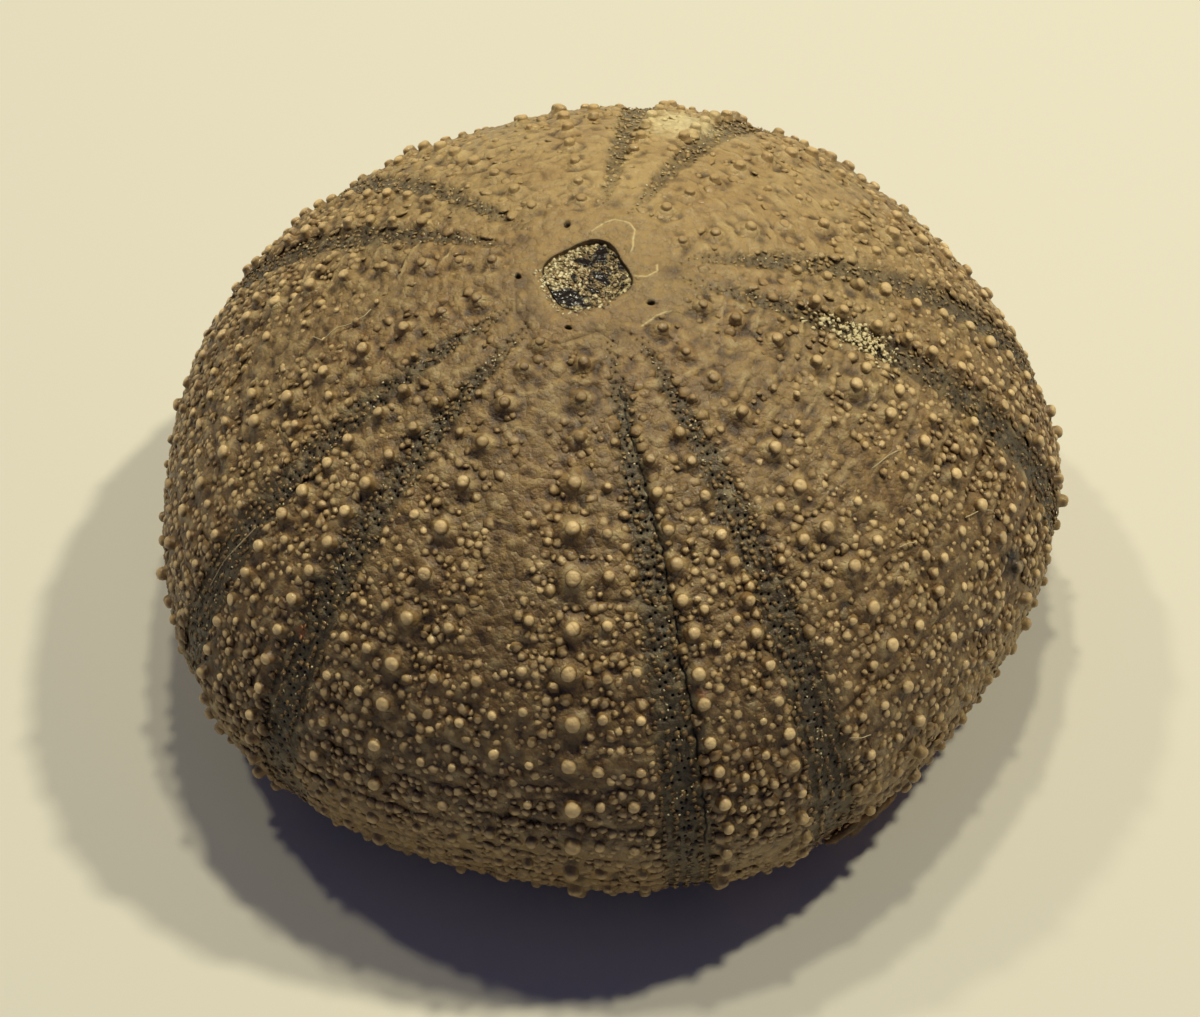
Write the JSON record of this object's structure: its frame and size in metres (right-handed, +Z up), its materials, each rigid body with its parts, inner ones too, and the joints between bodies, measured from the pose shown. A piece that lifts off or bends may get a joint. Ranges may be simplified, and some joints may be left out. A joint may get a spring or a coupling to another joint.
{
  "type": "fossil sea urchin",
  "caption": "Domed fossil sea urchin test with rows of knobbed tubercles, five pore-lined rays and sediment in its crown and mouth openings.",
  "frame": {"origin": "the middle of the outline's box, on the flat resting face", "axes": "+Z up through the crown, +X to the viewer's right and -Y towards the viewer"},
  "size_m": [0.0915, 0.0908, 0.0492],
  "materials": {
    "test": "grey-brown fossil calcite, satin, paler on the tubercles",
    "crown_sediment": "granular cream sand with black glossy patches",
    "mouth_sediment": "matt fine limy sediment",
    "edge_matrix": "matt rust-brown rock"
  },
  "bodies": {
    "root": {"test": "test", "crown_sediment": "crown_sediment", "mouth_sediment": "mouth_sediment", "edge_matrix": "edge_matrix"}
  },
  "joints": []
}
